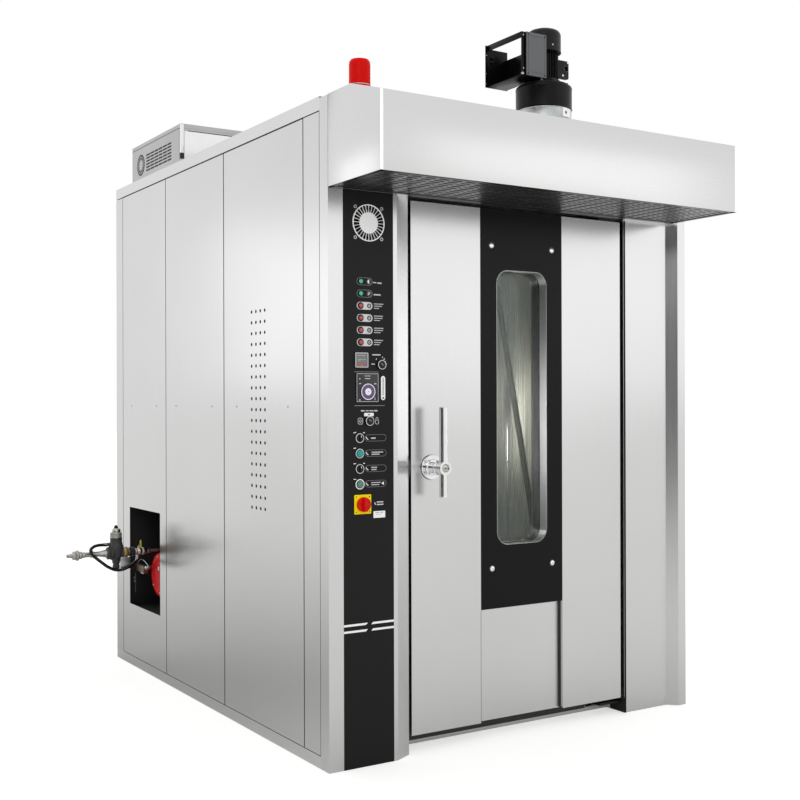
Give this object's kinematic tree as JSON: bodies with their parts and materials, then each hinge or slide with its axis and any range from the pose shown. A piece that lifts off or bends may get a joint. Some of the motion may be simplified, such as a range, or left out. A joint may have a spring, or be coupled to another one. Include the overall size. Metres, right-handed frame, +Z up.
{
  "type": "rotating rack oven",
  "caption": "Rotating rack oven with a folded steel casing, hinged window door, hanging turning carrier, extraction hood, control panel and gas burner.",
  "frame": {"origin": "middle of the casing's footprint, on the floor", "axes": "+X to the hinge side of the door, +Y from the door to the back, +Z up"},
  "size_m": [2.037, 2.49, 2.627],
  "materials": {
    "brushed_sheet": "brushed stainless sheet",
    "grille_steel": "dark stainless sheet",
    "black_plate": "smooth black enamel",
    "liner_steel": "stainless liner",
    "door_core": "steel-faced insulated core",
    "mineral_wool": "mineral wool",
    "heat_steel": "heat-tinted steel",
    "burner_red": "gloss red enamel",
    "polished_steel": "polished",
    "cast_black": "black paint on casting",
    "lever_yellow": "yellow paint",
    "pipe_steel": "drawn tube",
    "hose_rubber": "smooth rubber",
    "fan_steel": "satin",
    "beacon_red": "gloss",
    "drive_paint": "hammered blue paint",
    "carrier_steel": "satin",
    "window_glass": "clear heat-resistant glass",
    "guard_white": "satin",
    "black_plastic": "satin",
    "instrument_grey": "satin",
    "dial_violet": "gloss",
    "button_teal": "gloss",
    "switch_red": "gloss"
  },
  "bodies": {
    "casing": {"base_frame": "brushed_sheet", "roof_panel": "brushed_sheet", "control_column": "brushed_sheet", "right_column": "brushed_sheet", "header_panel": "brushed_sheet", "hood_shell": "brushed_sheet", "left_panels": "brushed_sheet", "right_panels": "brushed_sheet", "rear_panel": "brushed_sheet", "roof_box": "brushed_sheet", "hood_grille": "grille_steel", "control_panel": "black_plate", "mouth_frame": "liner_steel", "chamber_floor": "liner_steel", "chamber_walls": "liner_steel", "chamber_ceiling": "liner_steel", "insulation": "mineral_wool", "heat_exchanger": "heat_steel", "burner_housing": "burner_red", "gas_inlet_nozzle": "polished_steel", "ball_valve": "polished_steel", "gas_regulator": "cast_black", "circulation_motor": "cast_black", "extractor_housing": "cast_black", "motor_body": "cast_black", "motor_cowl": "cast_black", "terminal_box": "cast_black", "hinge_pivots": "cast_black", "burner_pipe": "pipe_steel", "impulse_hose": "hose_rubber", "fan_collar": "fan_steel", "beacon": "beacon_red", "drive_gearmotor": "drive_paint", "fan_guard": "guard_white", "panel_instruments": "instrument_grey", "panel_fittings": "instrument_grey"},
    "door": {"door_core": "door_core", "door_skins": "brushed_sheet", "door_black_panel": "black_plate", "door_screws": "polished_steel", "window_glass": "window_glass", "door_seal": "hose_rubber", "handle_rose": "polished_steel"},
    "handle": {"handle_lever": "polished_steel"},
    "latch": {"latch_bolt": "polished_steel"},
    "carrier": {"carrier_shaft": "carrier_steel", "carrier_frame": "carrier_steel", "carrier_turntable": "carrier_steel"},
    "circulation_rotor": {"circulation_fan": "fan_steel"},
    "extractor_rotor": {"extractor_impeller": "fan_steel"},
    "cabinet_rotor": {"cabinet_fan": "black_plastic"},
    "gas_lever": {"valve_lever": "lever_yellow"},
    "timer_dial": {"timer_knob": "black_plastic"},
    "temperature_dial": {"controller_dial": "dial_violet"},
    "steam_dial": {"steam_knob": "black_plastic"},
    "selector_a": {"upper_selector": "black_plastic"},
    "selector_b": {"lower_selector": "black_plastic"},
    "start_key": {"start_button": "button_teal"},
    "lamp_key": {"lamp_button": "button_teal"},
    "main_switch": {"main_switch_knob": "switch_red"}
  },
  "joints": [
    {"name": "door_hinge", "type": "hinge", "parent": "casing", "child": "door", "pos_m": [0.473, -1.001, 0.064], "axis": [0, 0, 1], "range_deg": [0, 105]},
    {"name": "handle_turn", "type": "hinge", "parent": "door", "child": "handle", "pos_m": [-0.398, -1.04, 1.012], "axis": [0, 1, 0], "range_deg": [0, 90]},
    {"name": "latch_slide", "type": "slide", "parent": "door", "child": "latch", "axis": [1, 0, 0], "range_m": [0, 0.015]},
    {"name": "carrier_spin", "type": "hinge", "parent": "casing", "child": "carrier", "pos_m": [0.013, -0.325, 0.028], "axis": [0, 0, 1], "continuous": true},
    {"name": "circulation_fan_spin", "type": "hinge", "parent": "casing", "child": "circulation_rotor", "pos_m": [-0.535, 0.538, 2.1], "axis": [0, 0, 1], "continuous": true},
    {"name": "extractor_spin", "type": "hinge", "parent": "casing", "child": "extractor_rotor", "pos_m": [0.055, -1.123, 2.35], "axis": [0, 0, 1], "continuous": true},
    {"name": "cabinet_fan_spin", "type": "hinge", "parent": "casing", "child": "cabinet_rotor", "pos_m": [-0.678, -1.065, 1.859], "axis": [0, 1, 0], "continuous": true},
    {"name": "gas_valve_turn", "type": "hinge", "parent": "casing", "child": "gas_lever", "pos_m": [-0.867, 0.674, 0.58], "axis": [0, 0, 1], "range_deg": [0, 90]},
    {"name": "main_switch_turn", "type": "hinge", "parent": "casing", "child": "main_switch", "pos_m": [-0.704, -1.075, 0.897], "axis": [0, 1, 0], "range_deg": [0, 90]},
    {"name": "upper_selector_turn", "type": "hinge", "parent": "casing", "child": "selector_a", "pos_m": [-0.7144, -1.075, 1.123], "axis": [0, 1, 0], "range_deg": [-45, 45]},
    {"name": "lower_selector_turn", "type": "hinge", "parent": "casing", "child": "selector_b", "pos_m": [-0.7144, -1.075, 1.0182], "axis": [0, 1, 0], "range_deg": [-45, 45]},
    {"name": "start_button_press", "type": "slide", "parent": "casing", "child": "start_key", "axis": [0, 1, 0], "range_m": [0, 0.0025], "stiffness_N_per_m": 400},
    {"name": "lamp_button_press", "type": "slide", "parent": "casing", "child": "lamp_key", "axis": [0, 1, 0], "range_m": [0, 0.0025], "stiffness_N_per_m": 400},
    {"name": "timer_knob_turn", "type": "hinge", "parent": "casing", "child": "timer_dial", "pos_m": [-0.629, -1.075, 1.374], "axis": [0, 1, 0], "range_deg": [0, 300]},
    {"name": "controller_dial_turn", "type": "hinge", "parent": "casing", "child": "temperature_dial", "pos_m": [-0.684, -1.075, 1.281], "axis": [0, 1, 0], "continuous": true},
    {"name": "steam_knob_turn", "type": "hinge", "parent": "casing", "child": "steam_dial", "pos_m": [-0.677, -1.075, 1.181], "axis": [0, 1, 0], "range_deg": [0, 270]}
  ],
  "couplings": [
    {"joint": "latch_slide", "follows": "handle_turn", "m_per_rad": 0.00954}
  ]
}
